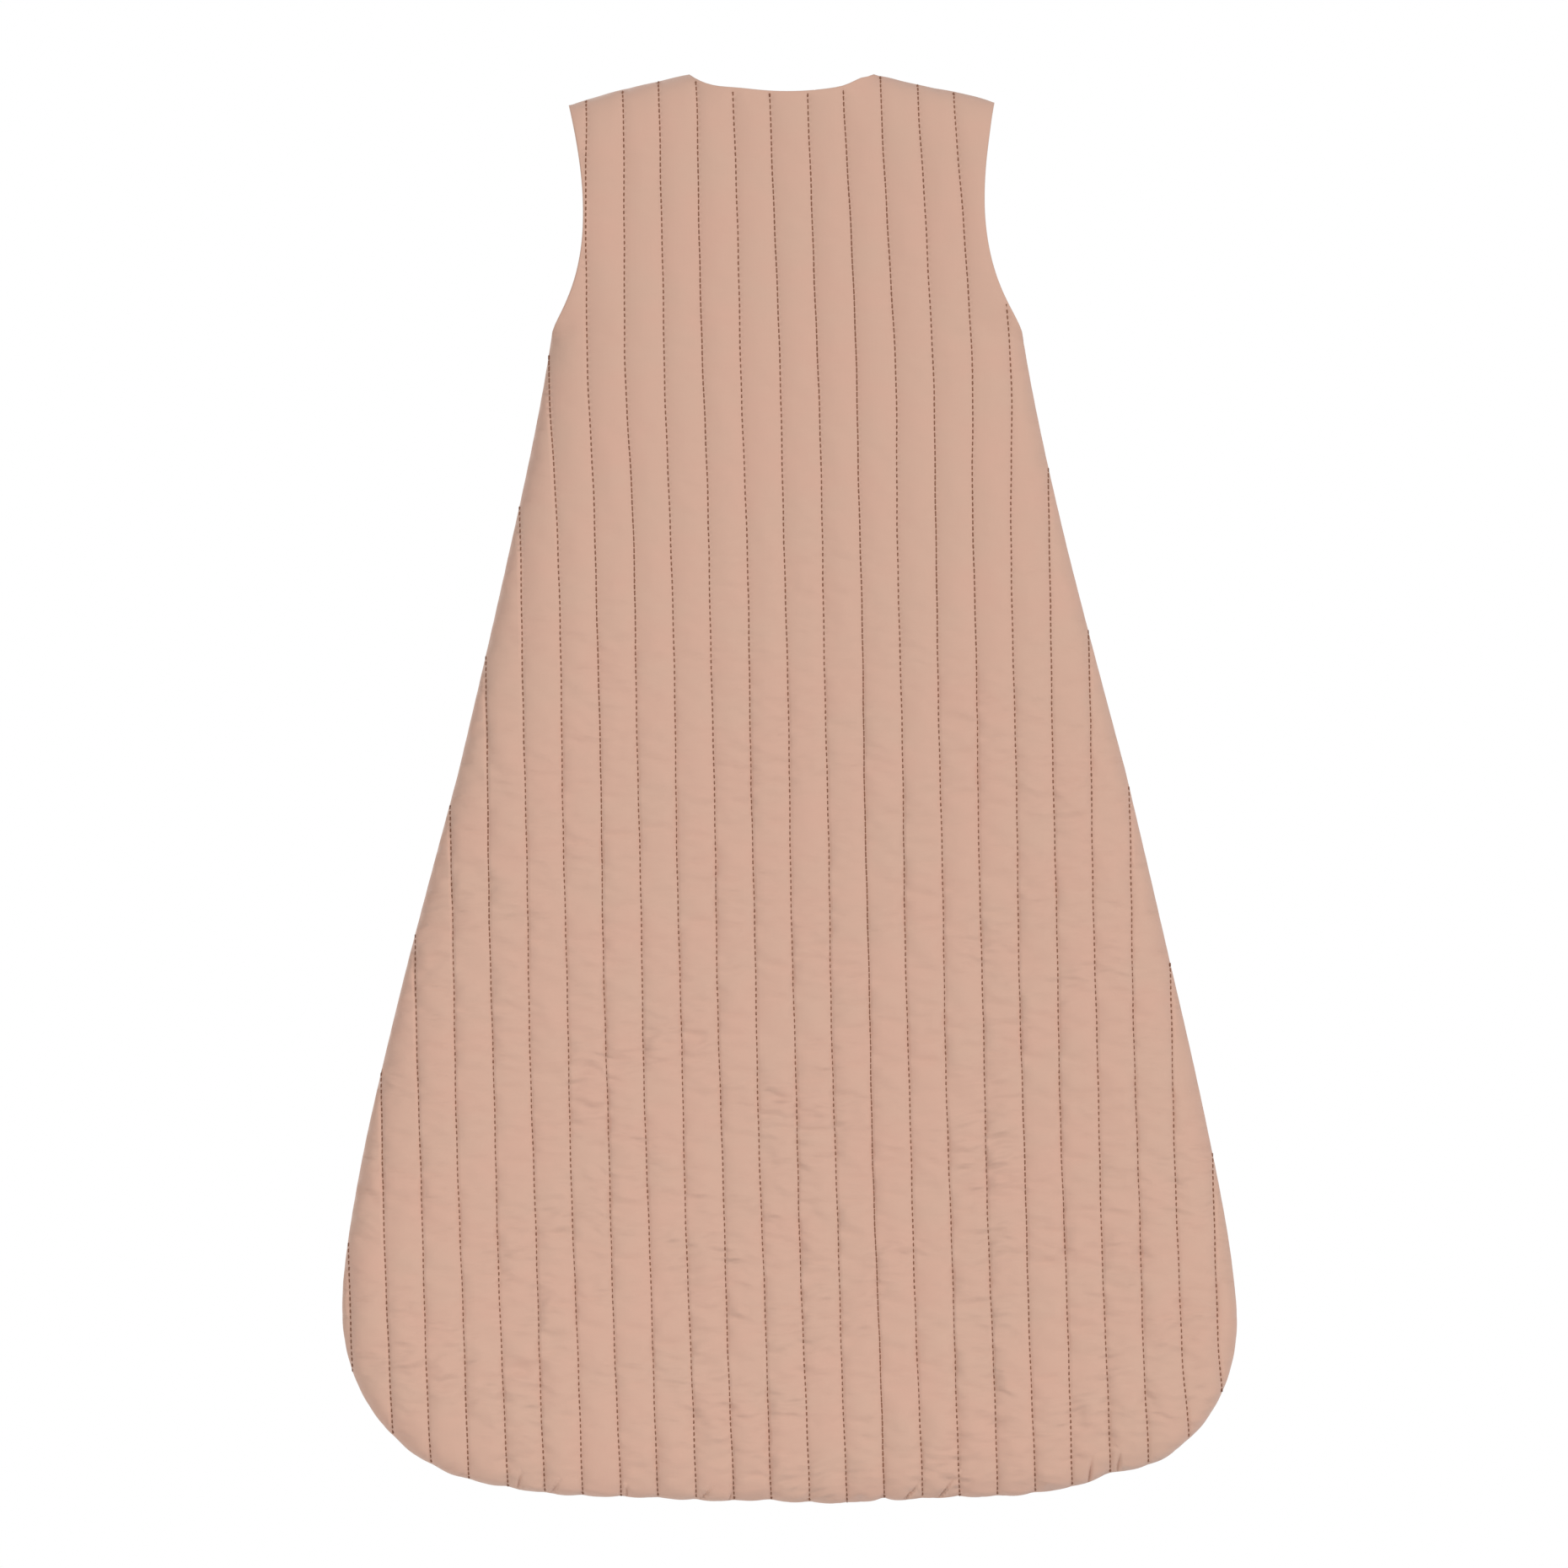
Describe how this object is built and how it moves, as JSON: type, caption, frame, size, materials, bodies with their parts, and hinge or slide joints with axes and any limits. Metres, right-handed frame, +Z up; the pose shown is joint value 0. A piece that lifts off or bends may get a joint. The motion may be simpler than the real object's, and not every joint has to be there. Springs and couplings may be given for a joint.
{
  "type": "baby sleeping bag",
  "caption": "Sleeveless quilted baby sleeping bag, wide and rounded at the hem, with vertical stitched channels and a centre-front zip whose flaps fold open.",
  "frame": {"origin": "midway between the two points where the shoulder seams meet the neckline, in the middle plane", "axes": "+Z up from the hem to the neck, +Y out of the zipped front, +X to the wearer's right"},
  "size_m": [0.563, 0.0516, 0.9],
  "materials": {
    "shell_cloth": "matt, finely woven cotton in a warm dusty pink-beige, stitched in vertical channels",
    "wadding": "soft off-white fibre wadding",
    "lining_cloth": "matt, fine pale cotton jersey",
    "zip_tape": "tightly woven herringbone tape",
    "zip_coil": "satin nylon monofilament",
    "zip_metal": "smooth enamelled zinc, matched to the cloth"
  },
  "bodies": {
    "bag": {"back_outer": "shell_cloth", "back_wadding": "wadding", "back_lining": "lining_cloth", "front_left_outer": "shell_cloth", "front_left_wadding": "wadding", "front_left_lining": "lining_cloth", "front_right_outer": "shell_cloth", "front_right_wadding": "wadding", "front_right_lining": "lining_cloth", "zip_tape_foot_left": "zip_tape", "zip_tape_foot_right": "zip_tape", "zip_coil_foot_left": "zip_coil", "zip_coil_foot_right": "zip_coil", "zip_bottom_stop": "zip_metal"},
    "flap_left": {"flap_left_outer": "shell_cloth", "flap_left_wadding": "wadding", "flap_left_lining": "lining_cloth", "zip_tape_left": "zip_tape", "zip_coil_left": "zip_coil", "zip_top_stop_left": "zip_metal", "zip_chin_guard": "shell_cloth"},
    "flap_right": {"flap_right_outer": "shell_cloth", "flap_right_wadding": "wadding", "flap_right_lining": "lining_cloth", "zip_tape_right": "zip_tape", "zip_coil_right": "zip_coil", "zip_top_stop_right": "zip_metal"},
    "zip_slider": {"zip_slider": "zip_metal"},
    "zip_pull_tab": {"zip_pull_tab": "zip_metal"}
  },
  "joints": [
    {"name": "zip_travel", "type": "slide", "parent": "bag", "child": "zip_slider", "axis": [0, 0, -1], "range_m": [0, 0.5887]},
    {"name": "flap_left_fold", "type": "hinge", "parent": "bag", "child": "flap_left", "pos_m": [-0.0075, 0.0247, -0.6587], "axis": [-0.0586, 0, 0.9983], "range_deg": [0, 150]},
    {"name": "flap_right_fold", "type": "hinge", "parent": "bag", "child": "flap_right", "pos_m": [0.0075, 0.0247, -0.6587], "axis": [-0.0586, 0, -0.9983], "range_deg": [0, 150]},
    {"name": "pull_tab_swing", "type": "hinge", "parent": "zip_slider", "child": "zip_pull_tab", "pos_m": [0, 0.0267, -0.0764], "axis": [1, 0, 0], "range_deg": [0, 165]}
  ],
  "couplings": [
    {"joint": "flap_left_fold", "follows": "zip_travel", "rad_per_m": 4.447},
    {"joint": "flap_right_fold", "follows": "zip_travel", "rad_per_m": 4.447}
  ]
}
